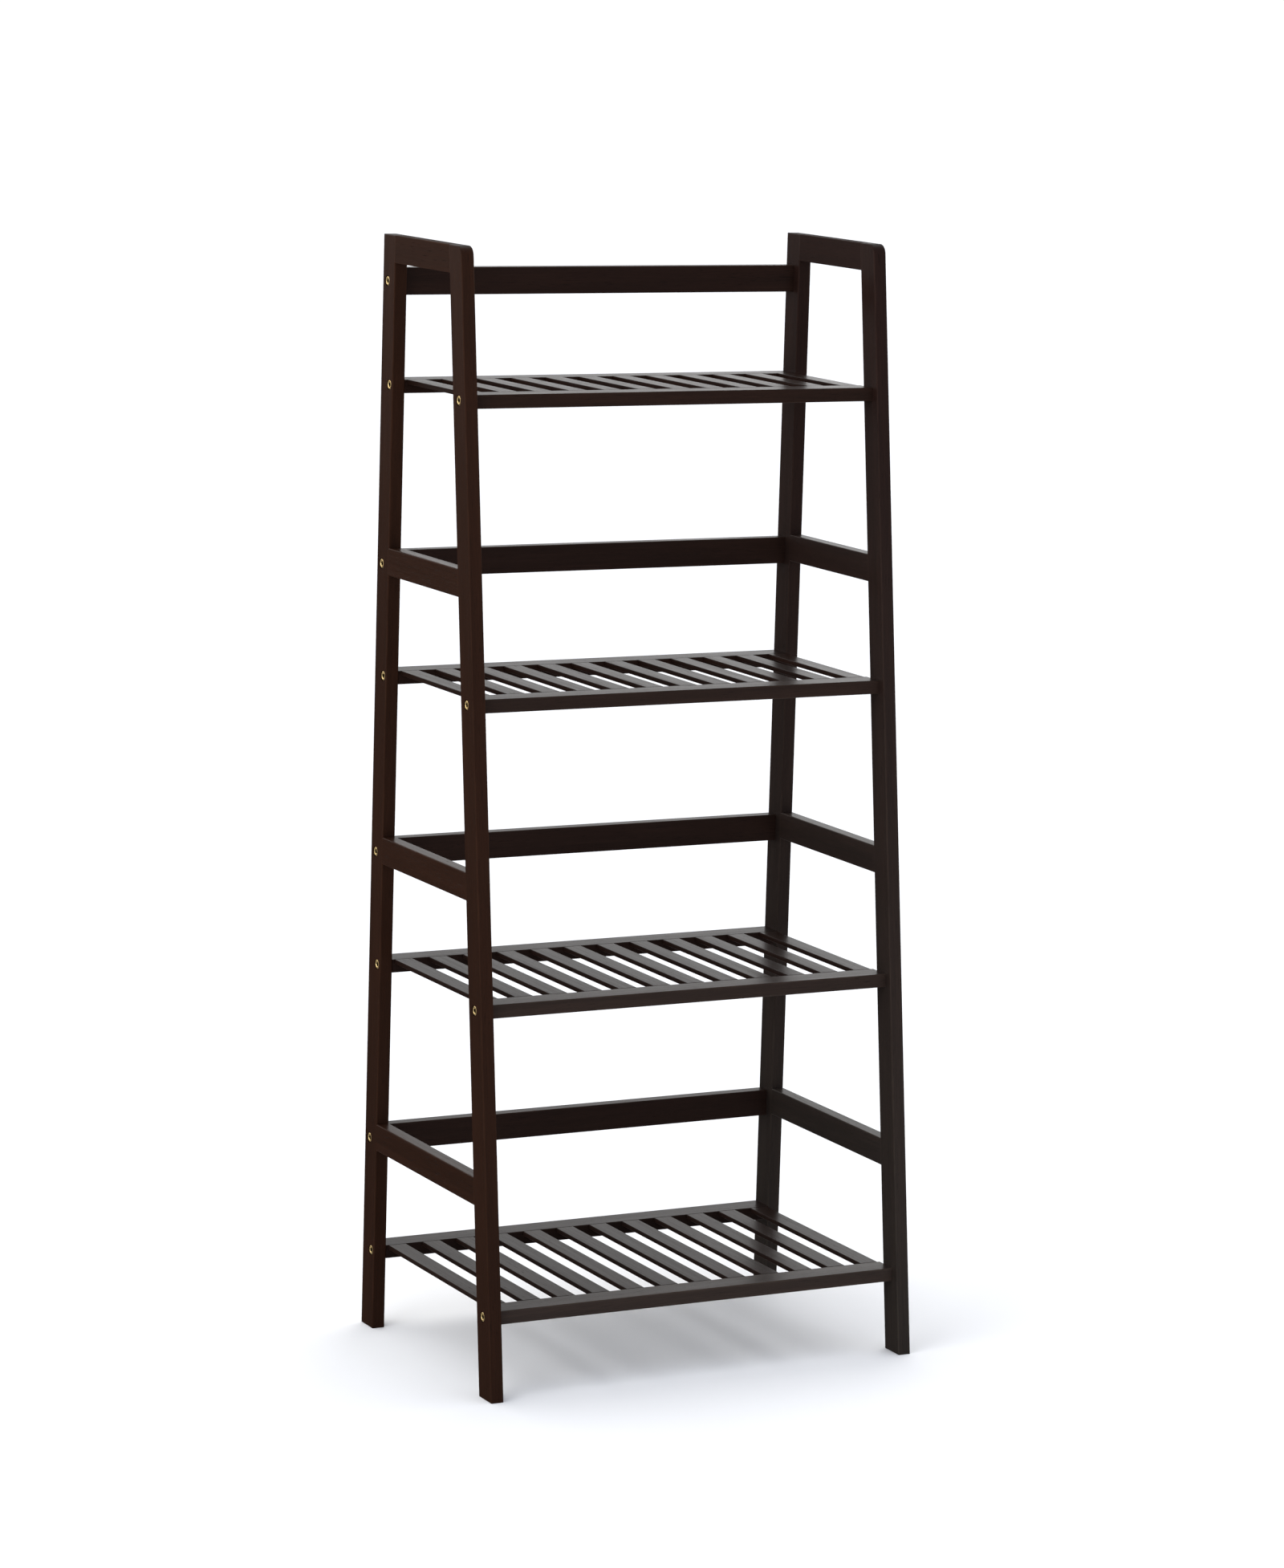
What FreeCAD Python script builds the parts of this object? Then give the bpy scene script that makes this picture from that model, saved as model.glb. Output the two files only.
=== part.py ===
import FreeCAD, Part
import math
import os
import Sketcher

# Tiered plant stand, all lengths in millimetres.
# X runs across the stand (left to right), Y from the front to the rear and
# Z up.  The origin is on the floor, under the middle of the stand.
#
# Two flat side frames (a leaning front leg, an upright rear leg, a top rail
# and three side rails each) carry four slatted shelves, which are screwed
# through the legs, and four back rails, screwed through the rear legs.

doc = FreeCAD.newDocument("plant_stand")

# ---------------------------------------------------------------- dimensions

DIMENSIONS = [
    # whole stand
    ("overall_width", 515),
    ("overall_depth", 340),
    ("overall_height", 1220),
    ("bar_thick", 15),            # all bars are 30 x 15 stock
    ("bar_wide", 30),
    ("edge_ease", 1.0),           # rounding of the bars' long edges
    ("front_leg_run", 142.6),     # how far the front leg leans back, floor to top
    ("leg_corner_round", 11),     # top front corner of the front leg
    # side rails and back rails: height of the top edge
    ("side_rail_top_upper", 879),
    ("side_rail_top_middle", 558),
    ("side_rail_top_lower", 234),
    ("back_rail_top_one", 1184.5),
    ("back_rail_top_two", 875),
    ("back_rail_top_three", 554),
    ("back_rail_top_four", 230),
    ("back_rail_inset", 3.5),     # behind it, up to the rear leg's rear face
    # shelves, counted from the top
    ("shelf_top_one", 1063.5),
    ("shelf_top_two", 743),
    ("shelf_top_three", 420),
    ("shelf_top_four", 94.5),
    ("shelf_rail_thick", 15),
    ("shelf_rail_deep", 30),
    ("shelf_front_setback", 9),   # behind the front leg's front face
    ("shelf_rear_inset", 1),      # in front of the rear leg's rear face
    ("slat_count", 12),
    ("slat_wide", 21),
    ("slat_thick", 5),
    ("slat_end_gap", 2.5),        # from the first slat to the side frame
    ("slat_shoulder_gap", 0.2),   # butt joint between a slat and its rail
    ("slat_ease", 0.6),
    ("tongue_long", 5),
    ("tongue_thick", 2.4),
    ("tongue_wide", 16),
    ("tongue_under", 2.3),        # top of the tongue below the slat's top
    ("joint_play", 0.15),         # clearance around tongues and dowels
    # furniture screws
    ("screw_long", 50),
    ("screw_head_dia", 10.4),
    ("screw_head_land", 1.1),
    ("screw_shank_dia", 7),
    ("screw_core_dia", 5),
    ("screw_neck_long", 14),
    ("screw_point_long", 3),
    ("screw_sink", 0.5),          # head below the leg's outer face
    ("screw_socket_flats", 5),
    ("screw_socket_deep", 3),
    ("screw_ridge_pitch", 2.8),
    ("screw_ridge_count", 11),
    ("head_hole_dia", 11.6),
    ("leg_hole_dia", 7.4),
    ("rail_hole_dia", 7.2),
    ("shelf_screw_drop", 6.2),    # below the shelf's top
    ("front_screw_back", 17),     # behind the front leg's front face
    ("rear_screw_fore", 21),      # in front of the rear leg's rear face
    # dowels
    ("dowel_dia", 6),
    ("dowel_long", 25),
    ("dowel_chamfer", 0.8),
    ("dowel_spread", 8),          # from a side rail's middle line
    ("back_dowel_drop", 9),       # below a back rail's middle line
    ("back_dowel_in_leg", 8),
]

sheet = doc.addObject("Spreadsheet::Sheet", "dims")
for row, (alias, number) in enumerate(DIMENSIONS, 1):
    sheet.set("A%d" % row, alias)
    sheet.set("B%d" % row, str(number))
    sheet.setAlias("B%d" % row, alias)
doc.recompute()


class Size:
    """A length that carries its value and the sheet formula it came from."""

    def __init__(self, text, value):
        self.text = text
        self.value = float(value)

    @staticmethod
    def of(other):
        if isinstance(other, Size):
            return other
        return Size(repr(float(other)), other)

    def __add__(self, other):
        other = Size.of(other)
        return Size("(%s + %s)" % (self.text, other.text), self.value + other.value)

    def __sub__(self, other):
        other = Size.of(other)
        return Size("(%s - %s)" % (self.text, other.text), self.value - other.value)

    def __mul__(self, other):
        other = Size.of(other)
        return Size("(%s * %s)" % (self.text, other.text), self.value * other.value)

    def __truediv__(self, other):
        other = Size.of(other)
        return Size("(%s / %s)" % (self.text, other.text), self.value / other.value)

    def __neg__(self):
        return Size("(0 - %s)" % self.text, -self.value)


def root(size):
    return Size("sqrt(%s)" % size.text, math.sqrt(size.value))


D = {alias: Size("dims.%s" % alias, sheet.get(alias)) for alias, number in DIMENSIONS}
ZERO = Size("0", 0)


def bind(obj, prop, size):
    size = Size.of(size)
    if not prop.startswith("."):
        setattr(obj, prop, size.value)
    obj.setExpression(prop, size.text)


TURNS = {
    "+Z": FreeCAD.Rotation(),
    "-Z": FreeCAD.Rotation(FreeCAD.Vector(1, 0, 0), 180),
    "+X": FreeCAD.Rotation(FreeCAD.Vector(0, 1, 0), 90),
    "-X": FreeCAD.Rotation(FreeCAD.Vector(0, 1, 0), -90),
    "+Y": FreeCAD.Rotation(FreeCAD.Vector(1, 0, 0), -90),
    "-Y": FreeCAD.Rotation(FreeCAD.Vector(1, 0, 0), 90),
}


def place(obj, at, turn="+Z"):
    at = [Size.of(v) for v in at]
    obj.Placement = FreeCAD.Placement(
        FreeCAD.Vector(*[v.value for v in at]), TURNS[turn])
    for name, v in zip("xyz", at):
        obj.setExpression(".Placement.Base.%s" % name, v.text)


def new_body(label, at=(ZERO, ZERO, ZERO)):
    body = doc.addObject("PartDesign::Body", label)
    body.Label = label
    place(body, at)
    return body


def origin_feature(body, role):
    return [o for o in body.Origin.OriginFeatures if o.Role == role][0]


def new_sketch(body, name, role):
    sketch = body.newObject("Sketcher::SketchObject", "%s_%s" % (body.Name, name))
    sketch.AttachmentSupport = [(origin_feature(body, role), "")]
    sketch.MapMode = "FlatFace"
    return sketch


def pin(sketch, geo, pos, x, y):
    """Fixes a point of a sketch at (x, y), each bound to its formula."""
    for kind, v in (("DistanceX", Size.of(x)), ("DistanceY", Size.of(y))):
        if v.value < 0:
            v = -v
            con = Sketcher.Constraint(kind, geo, pos, -1, 1, v.value)
        else:
            con = Sketcher.Constraint(kind, -1, 1, geo, pos, v.value)
        index = sketch.addConstraint(con)
        if v.text != "0":
            sketch.setExpression("Constraints[%d]" % index, v.text)


def polygon(sketch, points):
    points = [(Size.of(x), Size.of(y)) for x, y in points]
    first = None
    count = len(points)
    for i, (x, y) in enumerate(points):
        nx, ny = points[(i + 1) % count]
        geo = sketch.addGeometry(Part.LineSegment(
            FreeCAD.Vector(x.value, y.value, 0),
            FreeCAD.Vector(nx.value, ny.value, 0)), False)
        if first is None:
            first = geo
    for i in range(count):
        sketch.addConstraint(Sketcher.Constraint(
            "Coincident", first + i, 2, first + (i + 1) % count, 1))
    for i, (x, y) in enumerate(points):
        pin(sketch, first + i, 1, x, y)


def circle(sketch, x, y, radius):
    x, y, radius = Size.of(x), Size.of(y), Size.of(radius)
    geo = sketch.addGeometry(Part.Circle(
        FreeCAD.Vector(x.value, y.value, 0), FreeCAD.Vector(0, 0, 1),
        radius.value), False)
    pin(sketch, geo, 3, x, y)
    index = sketch.addConstraint(Sketcher.Constraint("Radius", geo, radius.value))
    sketch.setExpression("Constraints[%d]" % index, radius.text)


def pad(body, sketch, length, name="Pad", reverse=False):
    feature = body.newObject("PartDesign::Pad", "%s_%s" % (body.Name, name))
    feature.Profile = sketch
    bind(feature, "Length", length)
    feature.Reversed = reverse
    doc.recompute()
    return feature


def round_edges(body, base, radius, chosen, name="Round"):
    """Rounds the edges of a feature for which chosen(edge) is true."""
    names = ["Edge%d" % (i + 1) for i, e in enumerate(base.Shape.Edges) if chosen(e)]
    if not names:
        raise RuntimeError("no edge to round on " + body.Label)
    feature = body.newObject("PartDesign::Fillet", "%s_%s" % (body.Name, name))
    feature.Base = (base, names)
    bind(feature, "Radius", radius)
    doc.recompute()
    return feature


def bore(body, name, at, turn, radius, depth):
    """A round hole from the point at, along the direction turn."""
    feature = body.newObject("PartDesign::SubtractiveCylinder",
                             "%s_%s" % (body.Name, name))
    bind(feature, "Radius", radius)
    bind(feature, "Height", depth)
    place(feature, at, turn)
    return feature


def sink(body, name, at, turn, wide, narrow, depth):
    """A conical countersink from the point at, narrowing along turn."""
    feature = body.newObject("PartDesign::SubtractiveCone",
                             "%s_%s" % (body.Name, name))
    bind(feature, "Radius1", wide)
    bind(feature, "Radius2", narrow)
    bind(feature, "Height", depth)
    place(feature, at, turn)
    return feature


def along(edge, axis):
    """True for a straight edge that runs along an axis ('x', 'y' or 'z')."""
    if len(edge.Vertexes) != 2:
        return False
    d = edge.Vertexes[1].Point - edge.Vertexes[0].Point
    return abs(getattr(d, axis)) > 0.999 * d.Length and d.Length > 1e-6


nodes = []

# ------------------------------------------------------ common derived sizes

HALF_WIDTH = D["overall_width"] / 2
HALF_DEPTH = D["overall_depth"] / 2
HEIGHT = D["overall_height"]
THICK = D["bar_thick"]
WIDE = D["bar_wide"]
EASE = D["edge_ease"]
INNER_WIDTH = D["overall_width"] - THICK * 2
LEAN = D["front_leg_run"] / HEIGHT
# width of the leaning leg, measured level
LEG_LEVEL = WIDE * root(LEAN * LEAN + 1)
REAR_LEG_Y = HALF_DEPTH - WIDE
DOWEL_HOLE = D["dowel_dia"] / 2 + D["joint_play"] / 2
DOWEL_DEEP = D["dowel_long"] / 2 + D["joint_play"] * 3
SCREW_HEAD_CONE = (D["head_hole_dia"] - D["leg_hole_dia"]) / 2


def front_line(z):
    """Y of the front leg's front face at the height z."""
    return LEAN * z - HALF_DEPTH


def leg_inner_line(z):
    """Y of the front leg's rear face at the height z."""
    return front_line(z) + LEG_LEVEL


RAIL_BOTTOMS = [
    ("top", HEIGHT - WIDE),
    ("upper", D["side_rail_top_upper"] - WIDE),
    ("middle", D["side_rail_top_middle"] - WIDE),
    ("lower", D["side_rail_top_lower"] - WIDE),
]
SHELF_TOPS = [
    ("one", D["shelf_top_one"]),
    ("two", D["shelf_top_two"]),
    ("three", D["shelf_top_three"]),
    ("four", D["shelf_top_four"]),
]
BACK_TOPS = [
    ("one", D["back_rail_top_one"]),
    ("two", D["back_rail_top_two"]),
    ("three", D["back_rail_top_three"]),
    ("four", D["back_rail_top_four"]),
]
BACK_RAIL_Y = HALF_DEPTH - D["back_rail_inset"] - THICK
BACK_SCREW_Y = BACK_RAIL_Y + THICK / 2


def shelf_screw_z(top):
    return top - D["shelf_screw_drop"]


def front_screw_y(z):
    return front_line(z) + D["front_screw_back"]


REAR_SCREW_Y = HALF_DEPTH - D["rear_screw_fore"]

# ---------------------------------------------------------------- side frames
#
# A side board's own X axis is zero on the stand's outer face.  On the left
# it runs inwards along +X, on the right along -X, so "hand" is +1 or -1.


def side_board(label, hand, y, z, outline):
    body = new_body(label, (HALF_WIDTH * -hand, y, z))
    outline_sketch = new_sketch(body, "Outline", "YZ_Plane")
    polygon(outline_sketch, outline)
    board = pad(body, outline_sketch, THICK, "Board", reverse=hand < 0)
    return body, board


def screw_hole(body, tag, hand, y, z):
    """Countersunk through hole from the outer face of a leg."""
    turn = "+X" if hand > 0 else "-X"
    bore(body, "Hole_" + tag, (-hand * 1.0, y, z), turn,
         D["leg_hole_dia"] / 2, THICK + 2)
    bore(body, "Recess_" + tag, (-hand * 1.0, y, z), turn,
         D["head_hole_dia"] / 2, D["screw_sink"] + D["screw_head_land"] + 1)
    sink(body, "Sink_" + tag,
         ((D["screw_sink"] + D["screw_head_land"]) * hand, y, z), turn,
         D["head_hole_dia"] / 2, D["leg_hole_dia"] / 2, SCREW_HEAD_CONE)


def fill_joints(body, hand, y_at_low, depth):
    """Keeps the leg's edge square where a rail's flush end meets it."""
    fill_sketch = new_sketch(body, "Fill", "YZ_Plane")
    for tag, bottom in RAIL_BOTTOMS:
        low = bottom + EASE
        high = bottom + WIDE - EASE
        polygon(fill_sketch, [
            (y_at_low(low), low), (y_at_low(low) + depth, low),
            (y_at_low(high) + depth, high), (y_at_low(high), high)])
    pad(body, fill_sketch, THICK, "FillPad", reverse=hand < 0)


for side, hand in (("left", 1), ("right", -1)):
    mid_x = THICK / 2 * hand
    end_turn = "+X" if hand > 0 else "-X"

    # leaning front leg, cut level at the floor and at the top
    run = D["front_leg_run"]
    body, board = side_board(
        side + "_front_leg", hand, -HALF_DEPTH, ZERO,
        [(ZERO, ZERO), (LEG_LEVEL, ZERO), (run + LEG_LEVEL, HEIGHT), (run, HEIGHT)])
    corner = round_edges(
        body, board, D["leg_corner_round"],
        lambda e: along(e, "x") and e.CenterOfMass.z > HEIGHT.value - 1
        and e.CenterOfMass.y < run.value + 1, "Corner")
    round_edges(
        body, corner, EASE,
        lambda e: abs(e.BoundBox.XLength) < 1e-6, "Ease")
    fill_joints(body, hand,
                lambda z: LEAN * z + LEG_LEVEL - EASE * 1.3, EASE * 1.3)
    for tag, bottom in RAIL_BOTTOMS:
        for which, lift in (("low", WIDE / 2 - D["dowel_spread"]),
                            ("high", WIDE / 2 + D["dowel_spread"])):
            z = bottom + lift
            start = LEAN * z + LEG_LEVEL - DOWEL_DEEP
            bore(body, "Dowel_%s_%s" % (tag, which), (mid_x, start, z), "+Y",
                 DOWEL_HOLE, DOWEL_DEEP + 4)
    for tag, top in SHELF_TOPS:
        z = shelf_screw_z(top)
        screw_hole(body, tag, hand, LEAN * z + D["front_screw_back"], z)
    nodes.append(body)

    # upright rear leg
    body, board = side_board(
        side + "_rear_leg", hand, REAR_LEG_Y, ZERO,
        [(ZERO, ZERO), (WIDE, ZERO), (WIDE, HEIGHT), (ZERO, HEIGHT)])
    round_edges(
        body, board, EASE,
        lambda e: abs(e.BoundBox.XLength) < 1e-6, "Ease")
    fill_joints(body, hand, lambda z: ZERO, EASE * 1.3)
    for tag, bottom in RAIL_BOTTOMS:
        for which, lift in (("low", WIDE / 2 - D["dowel_spread"]),
                            ("high", WIDE / 2 + D["dowel_spread"])):
            bore(body, "Dowel_%s_%s" % (tag, which),
                 (mid_x, Size("-4", -4), bottom + lift), "+Y",
                 DOWEL_HOLE, DOWEL_DEEP + 4)
    for tag, top in SHELF_TOPS:
        screw_hole(body, tag, hand, WIDE - D["rear_screw_fore"], shelf_screw_z(top))
    for tag, top in BACK_TOPS:
        z = top - WIDE / 2
        screw_hole(body, "Back_" + tag, hand, BACK_SCREW_Y - REAR_LEG_Y, z)
        bore(body, "BackDowel_" + tag,
             ((THICK + 4) * hand, BACK_SCREW_Y - REAR_LEG_Y,
              z - D["back_dowel_drop"]),
             "-X" if hand > 0 else "+X", DOWEL_HOLE,
             D["back_dowel_in_leg"] + D["joint_play"] * 3 + 4)
    nodes.append(body)

    # four rails between the legs, their front ends cut to the leg's lean
    for tag, bottom in RAIL_BOTTOMS:
        front = leg_inner_line(bottom)
        length = REAR_LEG_Y - front
        label = "%s_top_rail" % side if tag == "top" else "%s_%s_side_rail" % (side, tag)
        body, board = side_board(
            label, hand, front, bottom,
            [(ZERO, ZERO), (length, ZERO), (length, WIDE), (LEAN * WIDE, WIDE)])
        round_edges(body, board, EASE, lambda e: along(e, "y"), "Ease")
        for which, z in (("low", WIDE / 2 - D["dowel_spread"]),
                         ("high", WIDE / 2 + D["dowel_spread"])):
            bore(body, "FrontDowel_" + which, (mid_x, Size("-4", -4), z), "+Y",
                 DOWEL_HOLE, LEAN * z + DOWEL_DEEP + 4)
            bore(body, "RearDowel_" + which, (mid_x, length + 4, z), "-Y",
                 DOWEL_HOLE, DOWEL_DEEP + 4)
        nodes.append(body)

# ----------------------------------------------------------------- back rails

SCREW_IN_RAIL = D["screw_long"] + D["screw_sink"] - THICK + 1


def cross_bar(label, y, z, deep, tall):
    """A bar that runs from one side frame to the other."""
    body = new_body(label, (-(INNER_WIDTH / 2), y, z))
    section = new_sketch(body, "Section", "YZ_Plane")
    polygon(section, [(ZERO, ZERO), (deep, ZERO), (deep, tall), (ZERO, tall)])
    bar = pad(body, section, INNER_WIDTH, "Bar")
    eased = round_edges(body, bar, EASE, lambda e: along(e, "x"), "Ease")
    return body, eased


def end_holes(body, tag, y, z, radius, depth):
    bore(body, tag + "_left", (Size("-4", -4), y, z), "+X", radius, depth + 4)
    bore(body, tag + "_right", (INNER_WIDTH + 4, y, z), "-X", radius, depth + 4)


for number, (tag, top) in enumerate(BACK_TOPS, 1):
    body, eased = cross_bar("back_rail_%d" % number, BACK_RAIL_Y, top - WIDE,
                            THICK, WIDE)
    end_holes(body, "Screw", THICK / 2, WIDE / 2, D["rail_hole_dia"] / 2,
              SCREW_IN_RAIL)
    end_holes(body, "Dowel", THICK / 2, WIDE / 2 - D["back_dowel_drop"], DOWEL_HOLE,
              D["dowel_long"] - D["back_dowel_in_leg"] + D["joint_play"] * 3)
    nodes.append(body)

# -------------------------------------------------------------------- shelves

SLAT_PITCH = (INNER_WIDTH - D["slat_end_gap"] * 2 - D["slat_wide"]) \
    / (D["slat_count"] - 1)
FIRST_SLAT = D["slat_end_gap"]
MORTISE_Z = (D["shelf_rail_thick"] - D["tongue_under"] - D["tongue_thick"]
             - D["joint_play"])
MORTISE_WIDE = D["tongue_wide"] + D["joint_play"] * 2
MORTISE_TALL = D["tongue_thick"] + D["joint_play"] * 2
MORTISE_DEEP = D["tongue_long"] + D["joint_play"] * 2
SHELF_REAR_Y = HALF_DEPTH - D["shelf_rear_inset"] - D["shelf_rail_deep"]


def mortises(body, y_inner, inwards):
    """One blind mortise for every slat, along the rail's inner face.

    inwards is +1 where the rail's material lies behind its inner face."""
    box = body.newObject("PartDesign::SubtractiveBox", body.Name + "_Mortise")
    bind(box, "Length", MORTISE_WIDE)
    bind(box, "Width", MORTISE_DEEP + 2)
    bind(box, "Height", MORTISE_TALL)
    y = y_inner - 2 if inwards > 0 else y_inner - MORTISE_DEEP
    place(box, (FIRST_SLAT + D["slat_wide"] / 2 - MORTISE_WIDE / 2, y, MORTISE_Z))
    doc.recompute()
    row = body.newObject("PartDesign::LinearPattern", body.Name + "_Mortises")
    row.Originals = [box]
    row.Direction = (origin_feature(body, "X_Axis"), [""])
    bind(row, "Length", SLAT_PITCH * (D["slat_count"] - 1))
    row.Occurrences = int(D["slat_count"].value)
    row.setExpression("Occurrences", D["slat_count"].text)
    body.Tip = row
    doc.recompute()
    return row


def copy_of(master, name, at, turn="+Z"):
    link = doc.addObject("App::Link", name)
    link.LinkedObject = master
    place(link, at, turn)
    return link


def group(label, links):
    compound = doc.addObject("Part::Compound", label)
    compound.Label = label
    compound.Links = links
    nodes.append(compound)
    return compound


for number, (tag, top) in enumerate(SHELF_TOPS, 1):
    bottom = top - D["shelf_rail_thick"]
    front_y = front_line(top) + D["shelf_front_setback"]
    inner_y = front_y + D["shelf_rail_deep"]
    screw_z = shelf_screw_z(top)

    body, eased = cross_bar("shelf_%d_front_rail" % number, front_y, bottom,
                            D["shelf_rail_deep"], D["shelf_rail_thick"])
    mortises(body, D["shelf_rail_deep"], -1)
    end_holes(body, "Screw", front_screw_y(screw_z) - front_y, screw_z - bottom,
              D["rail_hole_dia"] / 2, SCREW_IN_RAIL)
    nodes.append(body)

    body, eased = cross_bar("shelf_%d_rear_rail" % number, SHELF_REAR_Y, bottom,
                            D["shelf_rail_deep"], D["shelf_rail_thick"])
    mortises(body, ZERO, 1)
    end_holes(body, "Screw", REAR_SCREW_Y - SHELF_REAR_Y, screw_z - bottom,
              D["rail_hole_dia"] / 2, SCREW_IN_RAIL)
    nodes.append(body)

    # one slat, with a tongue at each end, and its row of twelve
    gap = D["slat_shoulder_gap"]
    length = SHELF_REAR_Y - inner_y - gap * 2
    master = new_body("slat_master_%d" % number)
    plan = new_sketch(master, "Plan", "XY_Plane")
    polygon(plan, [(ZERO, ZERO), (D["slat_wide"], ZERO),
                   (D["slat_wide"], length), (ZERO, length)])
    board = pad(master, plan, D["slat_thick"], "Board")
    round_edges(master, board, D["slat_ease"],
                lambda e: along(e, "y") or (
                    along(e, "x") and e.CenterOfMass.z > 0.5 * D["slat_thick"].value),
                "Ease")
    tongue_x = (D["slat_wide"] - D["tongue_wide"]) / 2
    tongue_z = D["slat_thick"] - D["tongue_under"] - D["tongue_thick"]
    for end, y in (("Front", -(D["tongue_long"] + gap)), ("Rear", length - 1)):
        box = master.newObject("PartDesign::AdditiveBox",
                               "%s_Tongue%s" % (master.Name, end))
        bind(box, "Length", D["tongue_wide"])
        bind(box, "Width", D["tongue_long"] + gap + 1)
        bind(box, "Height", D["tongue_thick"])
        place(box, (tongue_x, y, tongue_z))
    doc.recompute()
    links = []
    for i in range(int(D["slat_count"].value)):
        links.append(copy_of(
            master, "shelf_%d_slat_%02d" % (number, i + 1),
            (FIRST_SLAT + SLAT_PITCH * i - INNER_WIDTH / 2, inner_y + gap,
             top - D["slat_thick"])))
    group("shelf_%d_slats" % number, links)

# --------------------------------------------------------------------- screws
#
# The screw points along -Z: its head's top is at zero.

screw = new_body("screw_master")
head_r = D["screw_head_dia"] / 2
shank_r = D["screw_shank_dia"] / 2
core_r = D["screw_core_dia"] / 2
cone = head_r - shank_r
land = D["screw_head_land"]
rim = Size("0.3", 0.3)
profile = new_sketch(screw, "Profile", "XZ_Plane")
polygon(profile, [
    (ZERO, ZERO),
    (head_r - rim, ZERO),
    (head_r, -rim),
    (head_r, -land),
    (shank_r, -(land + cone)),
    (shank_r, -D["screw_neck_long"]),
    (core_r, -(D["screw_neck_long"] + 1)),
    (core_r, -(D["screw_long"] - D["screw_point_long"])),
    (Size("0.8", 0.8), -D["screw_long"]),
    (ZERO, -D["screw_long"]),
])
turned = screw.newObject("PartDesign::Revolution", "screw_Turned")
turned.Profile = profile
turned.ReferenceAxis = (profile, ["V_Axis"])
turned.Angle = 360.0
doc.recompute()
ridge_sketch = new_sketch(screw, "Ridge", "XZ_Plane")
start = D["screw_neck_long"] + 1.6
polygon(ridge_sketch, [
    (core_r - 0.4, -start),
    (core_r, -start),
    (shank_r, -(start + 0.8)),
    (shank_r, -(start + 1.1)),
    (core_r, -(start + 1.9)),
    (core_r - 0.4, -(start + 1.9)),
])
ridge = screw.newObject("PartDesign::Revolution", "screw_Ridge")
ridge.Profile = ridge_sketch
ridge.ReferenceAxis = (ridge_sketch, ["V_Axis"])
ridge.Angle = 360.0
doc.recompute()
ridges = screw.newObject("PartDesign::LinearPattern", "screw_Ridges")
ridges.Originals = [ridge]
ridges.Direction = (origin_feature(screw, "Z_Axis"), [""])
ridges.Reversed = True
bind(ridges, "Length", D["screw_ridge_pitch"] * (D["screw_ridge_count"] - 1))
ridges.Occurrences = int(D["screw_ridge_count"].value)
ridges.setExpression("Occurrences", D["screw_ridge_count"].text)
screw.Tip = ridges
doc.recompute()
before = screw.Shape.Volume
socket_sketch = new_sketch(screw, "Socket", "XY_Plane")
across = D["screw_socket_flats"] / 2
corner_x = across / math.sqrt(3)
polygon(socket_sketch, [
    (corner_x * 2, ZERO), (corner_x, across), (-corner_x, across),
    (-(corner_x * 2), ZERO), (-corner_x, -across), (corner_x, -across)])
socket = screw.newObject("PartDesign::Pocket", "screw_Socket")
socket.Profile = socket_sketch
bind(socket, "Length", D["screw_socket_deep"])
doc.recompute()
if not screw.Shape.Volume < before - 20:
    raise RuntimeError("the screw's socket cuts nothing")

for side, hand in (("left", 1), ("right", -1)):
    outwards = "-X" if hand > 0 else "+X"
    head_x = (HALF_WIDTH - D["screw_sink"]) * -hand
    links = []
    for tag, top in SHELF_TOPS:
        z = shelf_screw_z(top)
        links.append(copy_of(screw, "%s_front_screw_%s" % (side, tag),
                             (head_x, front_screw_y(z), z), outwards))
        links.append(copy_of(screw, "%s_rear_screw_%s" % (side, tag),
                             (head_x, REAR_SCREW_Y, z), outwards))
    group(side + "_shelf_screws", links)
    links = []
    for tag, top in BACK_TOPS:
        links.append(copy_of(screw, "%s_back_screw_%s" % (side, tag),
                             (head_x, BACK_SCREW_Y, top - WIDE / 2), outwards))
    group(side + "_back_rail_screws", links)

# --------------------------------------------------------------------- dowels

dowel = new_body("dowel_master")
dowel_sketch = new_sketch(dowel, "Section", "XY_Plane")
circle(dowel_sketch, ZERO, ZERO, D["dowel_dia"] / 2)
rod = pad(dowel, dowel_sketch, D["dowel_long"], "Rod")
ends = dowel.newObject("PartDesign::Chamfer", "dowel_Ends")
ends.Base = (rod, ["Edge%d" % (i + 1) for i, e in enumerate(rod.Shape.Edges)
                   if e.BoundBox.ZLength < 1e-6])
bind(ends, "Size", D["dowel_chamfer"])
doc.recompute()

for side, hand in (("left", 1), ("right", -1)):
    x = (HALF_WIDTH - THICK / 2) * -hand
    links = []
    for tag, bottom in RAIL_BOTTOMS:
        for which, lift in (("low", WIDE / 2 - D["dowel_spread"]),
                            ("high", WIDE / 2 + D["dowel_spread"])):
            z = bottom + lift
            links.append(copy_of(
                dowel, "%s_front_dowel_%s_%s" % (side, tag, which),
                (x, leg_inner_line(z) - D["dowel_long"] / 2, z), "+Y"))
            links.append(copy_of(
                dowel, "%s_rear_dowel_%s_%s" % (side, tag, which),
                (x, REAR_LEG_Y - D["dowel_long"] / 2, z), "+Y"))
    group(side + "_frame_dowels", links)

links = []
for tag, top in BACK_TOPS:
    z = top - WIDE / 2 - D["back_dowel_drop"]
    links.append(copy_of(dowel, "back_dowel_left_" + tag,
                         (-(INNER_WIDTH / 2) - D["back_dowel_in_leg"],
                          BACK_SCREW_Y, z), "+X"))
    links.append(copy_of(dowel, "back_dowel_right_" + tag,
                         (INNER_WIDTH / 2 + D["back_dowel_in_leg"],
                          BACK_SCREW_Y, z), "-X"))
group("back_rail_dowels", links)

# ------------------------------------------------------------ checks, writing

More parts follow.
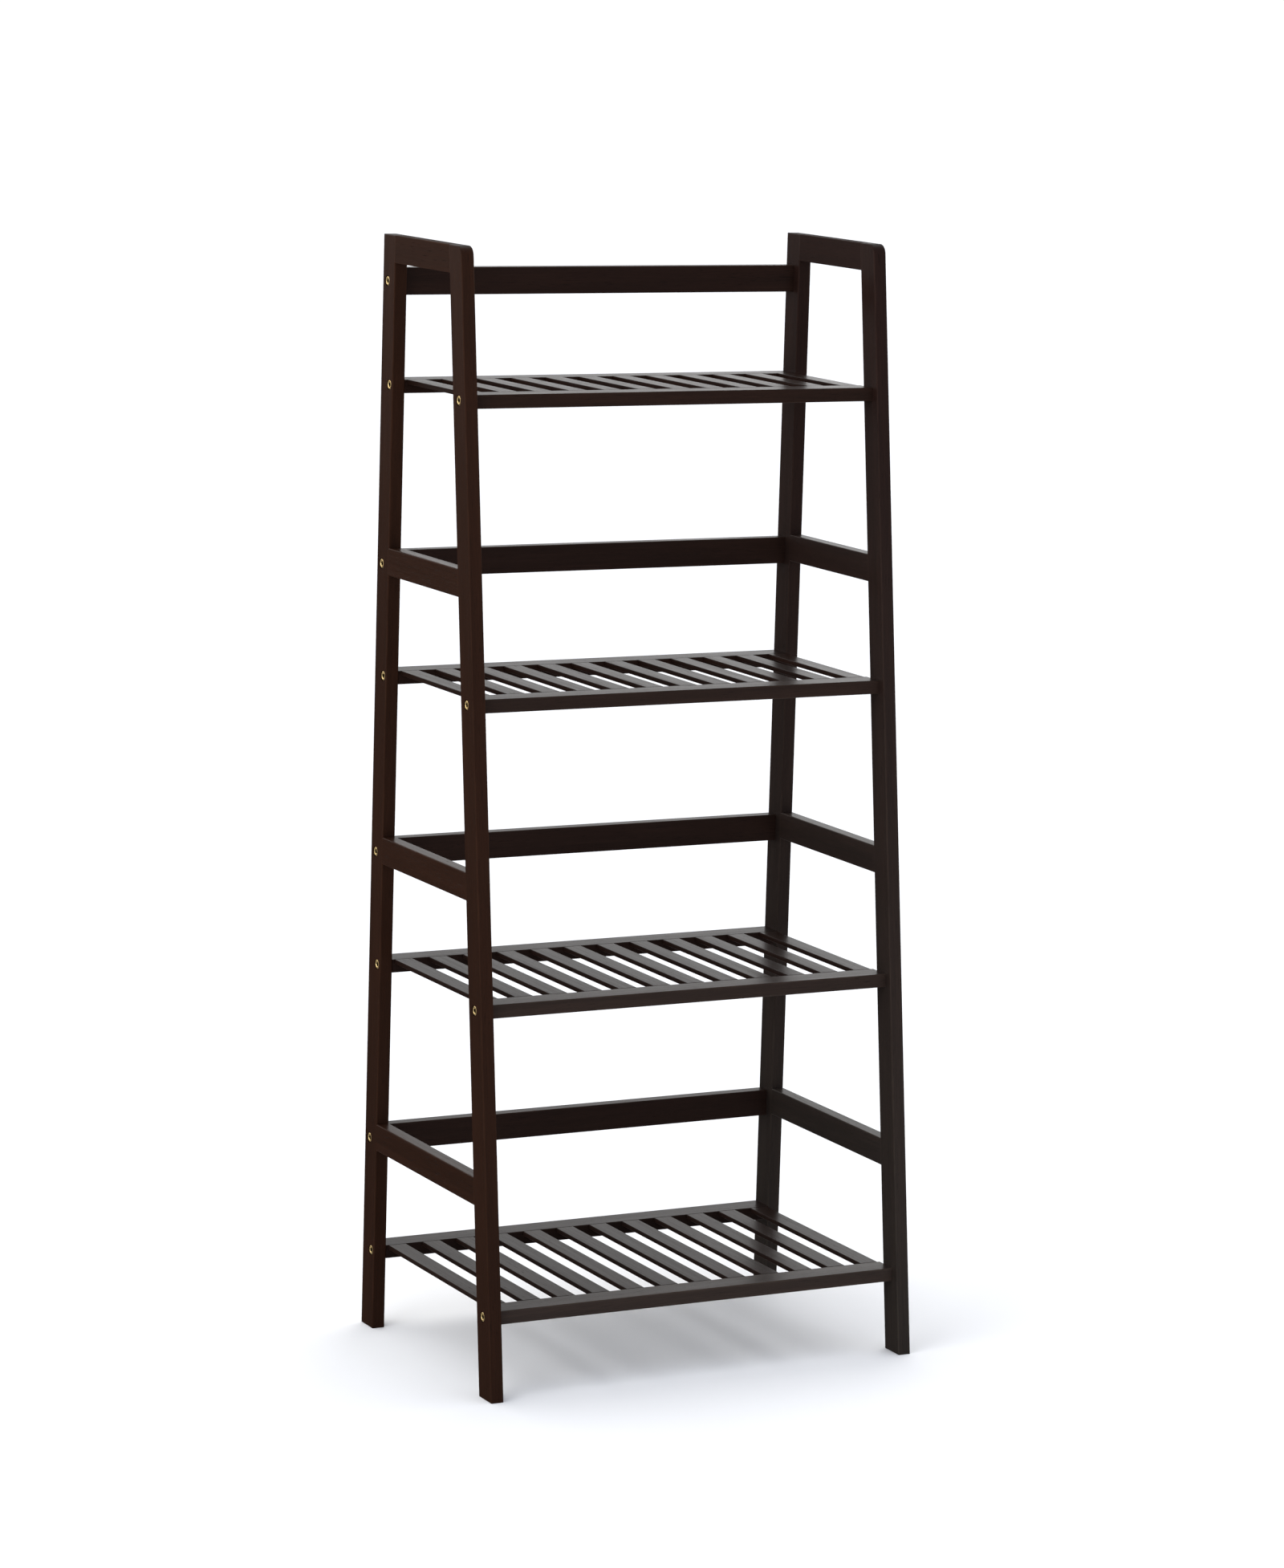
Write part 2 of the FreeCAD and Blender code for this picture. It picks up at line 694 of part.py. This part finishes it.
doc.recompute()
for obj in doc.Objects:
    bad = [word for word in ("Invalid", "Error") if word in obj.State]
    if bad:
        raise RuntimeError("%s is %s" % (obj.Label, ", ".join(bad)))

SOLIDS = {"slats": 12, "shelf_screws": 8, "back_rail_screws": 4,
          "frame_dowels": 16, "back_rail_dowels": 8}
for node in nodes:
    shape = node.Shape
    if shape.isNull() or not shape.isValid():
        raise RuntimeError("%s has no valid shape" % node.Label)
    wanted = 1
    for ending, count in SOLIDS.items():
        if node.Label.endswith(ending):
            wanted = count
    if len(shape.Solids) != wanted:
        raise RuntimeError("%s has %d solids, not %d"
                           % (node.Label, len(shape.Solids), wanted))

os.makedirs("parts", exist_ok=True)
for node in nodes:
    node.Shape.exportStep(os.path.join("parts", node.Label + ".step"))
    box = node.Shape.BoundBox
    print("%-26s %2d solid(s) %10.1f mm3  x %7.1f %7.1f  y %7.1f %7.1f  z %7.1f %7.1f"
          % (node.Label, len(node.Shape.Solids), node.Shape.Volume,
             box.XMin, box.XMax, box.YMin, box.YMax, box.ZMin, box.ZMax))
print("%d nodes" % len(nodes))
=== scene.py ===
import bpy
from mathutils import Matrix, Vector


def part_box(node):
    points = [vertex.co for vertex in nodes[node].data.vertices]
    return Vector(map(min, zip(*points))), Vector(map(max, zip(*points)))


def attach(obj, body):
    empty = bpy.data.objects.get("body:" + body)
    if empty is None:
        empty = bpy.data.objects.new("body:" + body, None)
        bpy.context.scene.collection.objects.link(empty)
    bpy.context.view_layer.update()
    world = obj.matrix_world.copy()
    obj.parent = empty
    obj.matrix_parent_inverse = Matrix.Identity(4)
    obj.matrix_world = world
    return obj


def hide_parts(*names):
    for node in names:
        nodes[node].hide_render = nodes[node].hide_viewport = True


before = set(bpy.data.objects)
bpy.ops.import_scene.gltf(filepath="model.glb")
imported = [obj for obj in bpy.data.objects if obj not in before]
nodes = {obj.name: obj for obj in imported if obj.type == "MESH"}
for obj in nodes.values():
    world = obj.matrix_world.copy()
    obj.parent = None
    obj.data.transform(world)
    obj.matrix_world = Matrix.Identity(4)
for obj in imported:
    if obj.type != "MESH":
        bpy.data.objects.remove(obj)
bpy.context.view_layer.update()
import math

import bmesh
import bpy
from mathutils import Matrix, Vector

LEAN = 142.6 / 1220.0             # the front legs' lean, metres back per metre up


# ------------------------------------------------------------------ node tools

class Tree:
    """Small helper that adds and joins shader nodes."""

    def __init__(self, name):
        self.mat = bpy.data.materials.new(name)
        self.mat.use_nodes = True
        self.nt = self.mat.node_tree
        self.nt.nodes.clear()
        self.out = self.nt.nodes.new("ShaderNodeOutputMaterial")
        self.bsdf = self.nt.nodes.new("ShaderNodeBsdfPrincipled")
        self.nt.links.new(self.bsdf.outputs[0], self.out.inputs[0])

    def new(self, kind, **props):
        n = self.nt.nodes.new(kind)
        for k, v in props.items():
            setattr(n, k, v)
        return n

    def put(self, socket, value):
        if value is None:
            return
        if isinstance(value, bpy.types.NodeSocket):
            self.nt.links.new(value, socket)
        else:
            socket.default_value = value

    def math(self, op, a, b=None, c=None, clamp=False):
        n = self.new("ShaderNodeMath", operation=op, use_clamp=clamp)
        for s, v in zip(n.inputs, (a, b, c)):
            self.put(s, v)
        return n.outputs[0]

    def join(self, x, y, z):
        n = self.new("ShaderNodeCombineXYZ")
        for s, v in zip(n.inputs, (x, y, z)):
            self.put(s, v)
        return n.outputs[0]

    def noise(self, vec, scale=1.0, detail=2.0, rough=0.5, distort=0.0, w=None):
        n = self.new("ShaderNodeTexNoise")
        n.noise_dimensions = "4D" if w is not None else "3D"
        self.put(n.inputs["Vector"], vec)
        self.put(n.inputs["Scale"], scale)
        self.put(n.inputs["Detail"], detail)
        self.put(n.inputs["Roughness"], rough)
        self.put(n.inputs["Distortion"], distort)
        if w is not None:
            self.put(n.inputs["W"], w)
        return n.outputs["Fac"]

    def spread(self, value, lo, hi, to_lo=0.0, to_hi=1.0, smooth=True):
        n = self.new("ShaderNodeMapRange")
        n.interpolation_type = "SMOOTHSTEP" if smooth else "LINEAR"
        self.put(n.inputs["Value"], value)
        self.put(n.inputs["From Min"], lo)
        self.put(n.inputs["From Max"], hi)
        self.put(n.inputs["To Min"], to_lo)
        self.put(n.inputs["To Max"], to_hi)
        return n.outputs["Result"]

    def mix(self, fac, a, b, mode="MIX"):
        n = self.new("ShaderNodeMix", data_type="RGBA", blend_type=mode)
        self.put(n.inputs[0], fac)
        self.put(n.inputs[6], a)
        self.put(n.inputs[7], b)
        return n.outputs[2]

    def bump(self, height, distance, strength=1.0, normal=None):
        n = self.new("ShaderNodeBump")
        n.inputs["Strength"].default_value = strength
        n.inputs["Distance"].default_value = distance
        self.put(n.inputs["Height"], height)
        self.put(n.inputs["Normal"], normal)
        return n.outputs[0]


def rgb(r, g, b):
    """Display RGB 0..255 as linear colour."""
    def lin(c):
        c /= 255.0
        return c / 12.92 if c <= 0.04045 else ((c + 0.055) / 1.055) ** 2.4
    return (lin(r), lin(g), lin(b), 1.0)


# ------------------------------------------------------------------- materials

def stained_wood(name, grain, seed, painted_light, box=None, rows=None, ends=True, matt=0.0):
    """Dark espresso stain under satin lacquer.

    grain: "X", "Y", "Z", or "L" for the leaning legs.
    tone:  scales for red, green and blue at the top of the stand and at the floor,
       painted light and shade: lighter, darker or greyer by the part's place and height.
    matt:  added to the roughness, for boards rubbed down less glossy.
    box:   (low, high) of the bar's section on the two axes across the grain,
           used for the slightly rubbed edges.
    rows:  (first, pitch) along X where one node holds a row of slats, so that
       every slat has a colour and a figure of its own."""
    t = Tree(name)
    coord = t.new("ShaderNodeTexCoord").outputs["Object"]
    sep = t.new("ShaderNodeSeparateXYZ")
    t.put(sep.inputs[0], coord)
    x, y, z = sep.outputs
    if grain == "X":
        along, a, b = x, y, z
    elif grain == "Y":
        along, a, b = y, x, z
    elif grain == "Z":
        along, a, b = z, x, y
    else:
        along, a, b = z, x, t.math("SUBTRACT", y, t.math("MULTIPLY", z, LEAN))

    # one random number per board
    if rows:
        first, pitch = rows
        index = t.math("FLOOR", t.math("DIVIDE", t.math("SUBTRACT", x, first), pitch))
        rnd = t.new("ShaderNodeTexWhiteNoise", noise_dimensions="2D")
        t.put(rnd.inputs["Vector"], t.join(index, float(seed) + 0.5, 0.0))
        board = rnd.outputs["Value"]
        shift = t.math("MULTIPLY", board, 37.0)
        w = t.math("ADD", shift, float(seed) * 3.1)
    else:
        board = None
        w = float(seed) * 3.1

    def stretched(k_along, k_across):
        return t.join(t.math("MULTIPLY", along, k_along),
                      t.math("MULTIPLY", a, k_across),
                      t.math("MULTIPLY", b, k_across))

    figure = t.noise(stretched(3.2, 62.0), 1.0, 3.0, 0.55, 0.5, w)
    streak = t.noise(stretched(9.0, 330.0), 1.0, 3.0, 0.6, 0.15, w)
    fibre = t.noise(stretched(38.0, 1500.0), 1.0, 2.0, 0.6, 0.0, w)
    pores = t.noise(stretched(70.0, 1250.0), 1.0, 1.0, 0.5, 0.0, w)
    pore_mask = t.spread(pores, 0.63, 0.76)
    cloud = t.noise(t.join(x, y, z), 9.0, 2.0, 0.5, 0.0, w)

    # stain colour: deep espresso, redder where the stain is thin
    deep, mid, warm = rgb(37, 24, 20), rgb(44, 28, 23), rgb(54, 34, 27)
    colour = t.mix(t.spread(figure, 0.25, 0.75), deep, mid)
    colour = t.mix(t.math("MULTIPLY", t.spread(streak, 0.46, 0.82), 0.40), colour, warm)
    colour = t.mix(t.math("MULTIPLY", t.spread(fibre, 0.35, 0.72), 0.34), colour,
                   rgb(28, 18, 15))
    colour = t.mix(t.math("MULTIPLY", pore_mask, 0.60), colour, rgb(15, 10, 8))
    colour = t.mix(t.spread(cloud, 0.30, 0.75, 0.0, 0.25), colour, deep)
    if board is not None:
        colour = t.mix(t.spread(board, 0.0, 1.0, 0.0, 0.30, False), colour, warm)

    # rubbed edges: where two long faces meet the stain is a little thinner
    if box:
        (a0, b0), (a1, b1) = box
        da = t.math("MINIMUM", t.math("ABSOLUTE", t.math("SUBTRACT", a, a0)),
                    t.math("ABSOLUTE", t.math("SUBTRACT", a, a1)))
        db = t.math("MINIMUM", t.math("ABSOLUTE", t.math("SUBTRACT", b, b0)),
                    t.math("ABSOLUTE", t.math("SUBTRACT", b, b1)))
        near = t.math("ADD", da, db)
        wobble = t.noise(stretched(22.0, 120.0), 1.0, 3.0, 0.65, 0.0, w)
        reach = t.spread(wobble, 0.35, 0.75, 0.0008, 0.0026)
        worn = t.math("SUBTRACT", 1.0, t.math("DIVIDE", near, reach), clamp=True)
        colour = t.mix(t.math("MULTIPLY", worn, 0.22), colour, rgb(74, 53, 43))

    # end grain: darker, with fine pores, where the surface faces along the grain
    rough = t.spread(streak, 0.2, 0.8, 0.26, 0.39, False)
    if ends:
        geo = t.new("ShaderNodeNewGeometry")
        nsep = t.new("ShaderNodeSeparateXYZ")
        t.put(nsep.inputs[0], geo.outputs["Normal"])
        face = {"X": nsep.outputs[0], "Y": nsep.outputs[1]}.get(grain, nsep.outputs[2])
        end = t.spread(t.math("ABSOLUTE", face), 0.80, 0.95)
        rings = t.noise(t.join(t.math("MULTIPLY", x, 420.0), t.math("MULTIPLY", y, 420.0),
                               t.math("MULTIPLY", z, 420.0)), 1.0, 3.0, 0.7, 0.0, w)
        end_colour = t.mix(t.spread(rings, 0.35, 0.7), rgb(18, 12, 10), rgb(38, 24, 19))
        colour = t.mix(t.math("MULTIPLY", end, 0.85), colour, end_colour)
        rough = t.math("ADD", rough, t.math("MULTIPLY", end, 0.18))
    rough = t.math("ADD", rough, t.math("MULTIPLY", pore_mask, 0.20))
    if matt:
        rough = t.math("ADD", rough, matt)
    # painted light and shade: the stain colour is multiplied by this part's scales, blended from
    # the floor scale to the top scale with height
    shade = t.mix(t.spread(z, 0.05, 1.10, 0.0, 1.0, False),
                  painted_light[1] + (1.0,), painted_light[0] + (1.0,))
    colour = t.mix(1.0, colour, shade, "MULTIPLY")

    t.put(t.bsdf.inputs["Base Color"], colour)
    t.put(t.bsdf.inputs["Roughness"], rough)
    t.bsdf.inputs["Specular IOR Level"].default_value = 0.045
    fine = t.bump(t.math("ADD", t.math("MULTIPLY", fibre, 0.5),
                         t.math("MULTIPLY", pore_mask, -0.8)), 0.00011, 0.7)
    wave = t.bump(t.math("ADD", t.math("MULTIPLY", figure, 0.6), streak), 0.00010, 0.5, fine)
    t.put(t.bsdf.inputs["Normal"], wave)
    return t.mat


def brass(name):
    """Bright brass plating, turned: fine rings round each head and a little tarnish.

    The mesh carries each point's place in its own screw as "turn"."""
    t = Tree(name)
    coord = t.new("ShaderNodeTexCoord").outputs["Object"]
    own = t.new("ShaderNodeAttribute", attribute_type="GEOMETRY", attribute_name="turn")
    sep = t.new("ShaderNodeSeparateXYZ")
    t.put(sep.inputs[0], own.outputs["Vector"])
    radius = t.math("SQRT", t.math("ADD", t.math("MULTIPLY", sep.outputs[0], sep.outputs[0]),
                                   t.math("MULTIPLY", sep.outputs[1], sep.outputs[1])))
    tarnish = t.noise(coord, 300.0, 4.0, 0.6)
    rings = t.noise(t.join(t.math("MULTIPLY", radius, 9000.0),
                           t.math("MULTIPLY", sep.outputs[2], 5000.0), 0.0), 1.0, 2.0, 0.6)
    # painted shade: the brass colour is taken dark down in the hex socket, where the recess lies
    # in shade
    socket_shade = t.spread(sep.outputs[2], -0.0012, -0.0003)       # 0 down in the socket
    colour = t.mix(t.spread(tarnish, 0.40, 0.78), (0.95, 0.72, 0.34, 1), (0.74, 0.50, 0.20, 1))
    colour = t.mix(t.math("MULTIPLY", t.spread(rings, 0.55, 0.8), 0.30), colour,
                   (1.0, 0.86, 0.56, 1))
    # painted shade in the socket
    colour = t.mix(socket_shade, (0.10, 0.065, 0.03, 1), colour)
    t.put(t.bsdf.inputs["Base Color"], colour)
    t.bsdf.inputs["Metallic"].default_value = 1.0
    t.put(t.bsdf.inputs["Roughness"], t.spread(tarnish, 0.3, 0.75, 0.30, 0.46, False))
    t.put(t.bsdf.inputs["Normal"], t.bump(rings, 0.00002, 0.5))
    return t.mat


def plain_wood(name):
    """Unfinished dowel wood."""
    t = Tree(name)
    coord = t.new("ShaderNodeTexCoord").outputs["Object"]
    grain = t.noise(coord, 900.0, 3.0, 0.6)
    broad = t.noise(coord, 60.0, 2.0, 0.5)
    colour = t.mix(grain, rgb(178, 141, 98), rgb(205, 172, 128))
    colour = t.mix(t.math("MULTIPLY", broad, 0.4), colour, rgb(160, 120, 80))
    t.put(t.bsdf.inputs["Base Color"], colour)
    t.put(t.bsdf.inputs["Roughness"], t.spread(grain, 0.3, 0.7, 0.6, 0.8, False))
    t.put(t.bsdf.inputs["Normal"], t.bump(grain, 0.00008, 0.6))
    return t.mat


def dress(node, mat):
    o = nodes[node]
    if o.material_slots:
        for s in o.material_slots:
            s.material = mat
    else:
        o.data.materials.append(mat)


def section(node, i, j):
    lo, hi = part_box(node)
    return ((lo[i], lo[j]), (hi[i], hi[j]))


# painted light and shade: scales on the stain colour for each group of parts, at the stand's top
# and at the floor; the rear rails and slats are painted darker as shade
LEFT_FRAME_LIGHT = ((1.10, 0.91, 0.66), (0.98, 0.85, 0.64))
BACK_RAIL_LIGHT = ((0.92, 0.97, 0.95), (0.80, 0.94, 0.98))
RIGHT_FRAME_LIGHT = ((0.89, 0.90, 0.92), (1.10, 1.80, 2.02))
SHELF_FRONT_LIGHT = ((0.90, 0.95, 0.90), (1.44, 2.16, 2.40))
INNER_SHADE = ((0.62, 0.60, 0.56), (0.62, 0.72, 0.74))

seed = 0
# painted light: the left frame is scaled warmer, the right frame lighter and greyer towards the
# floor
for side, painted_light in (("left", LEFT_FRAME_LIGHT), ("right", RIGHT_FRAME_LIGHT)):
    seed += 1
    n = side + "_front_leg"
    lo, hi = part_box(n)
    dress(n, stained_wood(n, "L", seed, painted_light,
                          ((lo[0], -0.170), (hi[0], -0.170 + 0.030 * math.sqrt(1 + LEAN ** 2)))))
    seed += 1
    n = side + "_rear_leg"
    dress(n, stained_wood(n, "Z", seed, painted_light, section(n, 0, 1)))
    for part in ("top_rail", "upper_side_rail", "middle_side_rail", "lower_side_rail"):
        seed += 1
        n = side + "_" + part
        dress(n, stained_wood(n, "Y", seed, painted_light, section(n, 0, 2), ends=False,
                              matt=0.36 if part == "top_rail" else 0.0))

# painted light and shade: the shelf fronts are scaled lighter towards the floor, the rear rails
# and slats darker throughout
for k in range(1, 5):
    seed += 1
    n = "back_rail_%d" % k
    dress(n, stained_wood(n, "X", seed, BACK_RAIL_LIGHT, section(n, 1, 2), ends=False))
    for part, painted_light in (("front_rail", SHELF_FRONT_LIGHT), ("rear_rail", INNER_SHADE)):
        seed += 1
        n = "shelf_%d_%s" % (k, part)
        dress(n, stained_wood(n, "X", seed, painted_light, section(n, 1, 2), ends=False))
    seed += 1
    n = "shelf_%d_slats" % k
    pitch = (0.480 - 0.021) / 11
    dress(n, stained_wood(n, "Y", seed, INNER_SHADE, None,
                          rows=(-0.240 - (pitch - 0.021) / 2, pitch), ends=False))


# ---------------------------------------------------------------------- screws

SPOKES = 48                       # points round a screw, eight to each flat


def hexagon(angle, flat):
    """Radius of a hexagon with this half width across its flats."""
    sector = math.pi / 3
    a = (angle + sector / 2) % sector - sector / 2
    return flat / math.cos(a)


def screw_rings():
    """(flat, radius, share of roundness, z) from the socket's floor to the point, in mm."""
    rings = [(2.50, 0.0, 0.0, -3.00), (2.50, 0.0, 0.0, -0.62), (2.52, 0.0, 0.0, -0.50),
             (2.66, 3.00, 0.35, -0.24), (2.80, 3.22, 0.80, -0.08), (0.0, 3.60, 1.0, -0.01),
             (0.0, 4.00, 1.0, 0.0), (0.0, 4.40, 1.0, -0.05), (0.0, 4.75, 1.0, -0.17),
             (0.0, 5.00, 1.0, -0.36), (0.0, 5.15, 1.0, -0.60), (0.0, 5.20, 1.0, -0.85),
             (0.0, 5.20, 1.0, -1.10), (0.0, 3.50, 1.0, -2.80), (0.0, 3.50, 1.0, -14.0),
             (0.0, 2.50, 1.0, -15.0)]
    for k in range(11):
        z = -15.6 - 2.8 * k
        rings += [(0.0, 2.50, 1.0, z), (0.0, 3.50, 1.0, z - 0.8), (0.0, 3.50, 1.0, z - 1.1),
                  (0.0, 2.50, 1.0, z - 1.9)]
    rings += [(0.0, 2.50, 1.0, -47.0), (0.0, 0.80, 1.0, -50.0)]
    return rings


def screw_places(node):
    """Centres (y, z) of the screws of one node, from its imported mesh."""
    found = []
    for v in nodes[node].data.vertices:
        for group in found:
            if abs(group[0] - v.co.y) < 0.014 and abs(group[2] - v.co.z) < 0.014:
                group[0], group[1] = min(group[0], v.co.y), max(group[1], v.co.y)
                group[2], group[3] = min(group[2], v.co.z), max(group[3], v.co.z)
                break
        else:
            found.append([v.co.y, v.co.y, v.co.z, v.co.z])
    return sorted(((g[0] + g[1]) / 2, (g[2] + g[3]) / 2) for g in found)


def screws(node, hand, mat):
    """Countersunk furniture screws with domed heads and a hexagon socket."""
    places = screw_places(node)
    lo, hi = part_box(node)
    head = lo[0] if hand < 0 else hi[0]
    rings = screw_rings()
    points, faces, own = [], [], []
    for i, (y0, z0) in enumerate(places):
        twist = 0.35 + 1.7 * i
        base = len(points)
        for flat, radius, share, z in rings:
            for s in range(SPOKES):
                a = 2 * math.pi * s / SPOKES
                r = radius * share + (hexagon(a, flat) * (1 - share) if share < 1 else 0)
                px, py = r * math.cos(a + twist) / 1000, r * math.sin(a + twist) / 1000
                points.append((head + hand * z / 1000, y0 + px, z0 + py))
                own.append((px, py, z / 1000))
        for k in range(len(rings) - 1):
            for s in range(SPOKES):
                a, b = base + k * SPOKES + s, base + k * SPOKES + (s + 1) % SPOKES
                faces.append((a, b, b + SPOKES, a + SPOKES))
        for k, z in ((0, -3.15), (len(rings) - 1, -50.0)):
            c = len(points)
            points.append((head + hand * z / 1000, y0, z0))
            own.append((0, 0, z / 1000))
            for s in range(SPOKES):
                faces.append((c, base + k * SPOKES + s, base + k * SPOKES + (s + 1) % SPOKES))
    mesh = bpy.data.meshes.new(node + "_turned")
    mesh.from_pydata(points, [], faces)
    bm = bmesh.new()
    bm.from_mesh(mesh)
    bmesh.ops.recalc_face_normals(bm, faces=bm.faces)
    bm.to_mesh(mesh)
    bm.free()
    turn = mesh.attributes.new("turn", "FLOAT_VECTOR", "POINT")
    turn.data.foreach_set("vector", [c for p in own for c in p])
    mesh.shade_smooth()
    mesh.set_sharp_from_angle(angle=math.radians(38))
    mesh.materials.append(mat)
    piece = bpy.data.objects.new(node + "_turned", mesh)
    bpy.context.scene.collection.objects.link(piece)
    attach(piece, "root")
    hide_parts(node)
    return piece


brass_mat = brass("brass")
for side, hand in (("left", -1), ("right", 1)):
    for kind in ("_shelf_screws", "_back_rail_screws"):
        dress(side + kind, brass_mat)
        screws(side + kind, hand, brass_mat)
dowel_mat = plain_wood("dowel_wood")
for n in ("left_frame_dowels", "right_frame_dowels", "back_rail_dowels"):
    dress(n, dowel_mat)


# ----------------------------------------------------------------------- floor

def pale_floor():
    half = 400.0
    mesh = bpy.data.meshes.new("floor")
    mesh.from_pydata([(-half, -half, 0), (half, -half, 0), (half, half, 0), (-half, half, 0)],
                     [], [(0, 1, 2, 3)])
    o = bpy.data.objects.new("floor", mesh)
    bpy.context.scene.collection.objects.link(o)
    t = Tree("floor")
    coord = t.new("ShaderNodeTexCoord").outputs["Object"]
    mottle = t.noise(coord, 3.0, 3.0, 0.5)
    t.put(t.bsdf.inputs["Base Color"],
          t.mix(mottle, (0.95, 0.95, 0.95, 1), (0.97, 0.97, 0.97, 1)))
    t.bsdf.inputs["Roughness"].default_value = 0.9
    t.bsdf.inputs["Specular IOR Level"].default_value = 0.1
    mesh.materials.append(t.mat)
    return o


floor = pale_floor()
floor.visible_glossy = False


# ---------------------------------------------------------------------- lights

world = bpy.data.worlds.new("studio")
bpy.context.scene.world = world
world.use_nodes = True
wt = world.node_tree
sky = wt.nodes["Background"]
way = wt.nodes.new("ShaderNodeTexCoord")
parts = wt.nodes.new("ShaderNodeSeparateXYZ")
wt.links.new(way.outputs["Generated"], parts.inputs[0])


def calc(op, a, b):
    n = wt.nodes.new("ShaderNodeMath")
    n.operation = op
    for socket, value in zip(n.inputs, (a, b)):
        if isinstance(value, float):
            socket.default_value = value
        else:
            wt.links.new(value, socket)
    return n.outputs[0]


def ramp(value, lo, hi, to_lo, to_hi):
    n = wt.nodes.new("ShaderNodeMapRange")
    n.interpolation_type = "SMOOTHSTEP"
    wt.links.new(value, n.inputs["Value"])
    for socket, v in (("From Min", lo), ("From Max", hi), ("To Min", to_lo), ("To Max", to_hi)):
        n.inputs[socket].default_value = v
    return n.outputs["Result"]


east, north, up = parts.outputs
# a bright studio above the horizon, brightest low down, a dark band just below the
# horizon, and the bright floor further down, which only reflections see
studio = calc("MULTIPLY", ramp(up, -0.06, 0.05, 0.03, 1.90), ramp(up, 0.07, 0.16, 1.0, 0.62))
studio = calc("MULTIPLY", studio, ramp(up, 0.45, 0.80, 1.0, 1.30))
studio = calc("MAXIMUM", studio, ramp(up, -0.60, -0.36, 0.75, 0.03))
# less light from the front, and more from behind on the right
studio = calc("MULTIPLY", studio, ramp(north, -0.45, 0.25, 0.50, 1.0))
turn = calc("SUBTRACT", calc("MULTIPLY", east, 0.883), calc("MULTIPLY", north, 0.469))
right_back = calc("MULTIPLY", ramp(turn, -0.05, 0.06, 0.0, 0.42), ramp(north, 0.1, 0.5, 0.0, 1.0))
studio = calc("MULTIPLY", studio, calc("ADD", right_back, 1.0))
path = wt.nodes.new("ShaderNodeLightPath")
seen = wt.nodes.new("ShaderNodeMix")
seen.data_type = "FLOAT"
wt.links.new(path.outputs["Is Camera Ray"], seen.inputs[0])
wt.links.new(studio, seen.inputs[2])
seen.inputs[3].default_value = 1.0
wt.links.new(seen.outputs[0], sky.inputs[1])
# a slightly cooler light from the front
cool = wt.nodes.new("ShaderNodeMix")
cool.data_type = "RGBA"
wt.links.new(calc("MAXIMUM", path.outputs["Is Camera Ray"], ramp(north, -0.45, 0.25, 0.0, 1.0)),
             cool.inputs[0])
cool.inputs[6].default_value = (0.92, 0.98, 1.12, 1)
cool.inputs[7].default_value = (1.0, 1.0, 1.0, 1)
wt.links.new(cool.outputs[2], sky.inputs[0])


def soft_light(name, at, aim, size, power, colour=(1, 1, 1)):
    data = bpy.data.lights.new(name, "AREA")
    data.shape = "RECTANGLE"
    data.size, data.size_y = size
    data.energy = power
    data.color = colour
    o = bpy.data.objects.new(name, data)
    bpy.context.scene.collection.objects.link(o)
    o.location = at
    o.rotation_euler = (Vector(aim) - Vector(at)).to_track_quat("-Z", "Y").to_euler()
    return o


soft_light("key", (-3.4, -1.4, 2.1), (0, 0, 0.6), (2.6, 2.6), 48)
low = soft_light("low_fill", (0.35, -1.25, 0.18), (0.05, 0.0, 0.22), (1.0, 0.30), 2.2)
low.visible_camera = False
low.visible_glossy = False

# ---------------------------------------------------------------------- camera

FRAME_W, FRAME_H = 1600.0, 1954.0
F_PX = 6256.638
U0, V0 = 800.0, 850.0
PLACE = (-2.5065406, -4.8218882, 1.5616679)
YAW, PITCH, ROLL = -0.4771, 0.15, -0.029

fwd = Vector((-math.sin(YAW) * math.cos(PITCH), math.cos(YAW) * math.cos(PITCH),
              -math.sin(PITCH)))
right = Vector((math.cos(YAW), math.sin(YAW), 0.0))
down = fwd.cross(right)
r2 = right * math.cos(ROLL) + down * math.sin(ROLL)
d2 = -right * math.sin(ROLL) + down * math.cos(ROLL)

cam_data = bpy.data.cameras.new("camera")
cam = bpy.data.objects.new("camera", cam_data)
bpy.context.scene.collection.objects.link(cam)
cam.matrix_world = Matrix((
    (r2.x, -d2.x, -fwd.x, PLACE[0]),
    (r2.y, -d2.y, -fwd.y, PLACE[1]),
    (r2.z, -d2.z, -fwd.z, PLACE[2]),
    (0, 0, 0, 1)))
cam_data.sensor_width = 36.0
cam_data.lens = F_PX * 36.0 / FRAME_H
cam_data.shift_x = (FRAME_W / 2 - U0) / FRAME_H
cam_data.shift_y = (V0 - FRAME_H / 2) / FRAME_H
cam_data.clip_start, cam_data.clip_end = 0.05, 2000.0
bpy.context.scene.camera = cam
bpy.context.scene.view_settings.view_transform = "Standard"
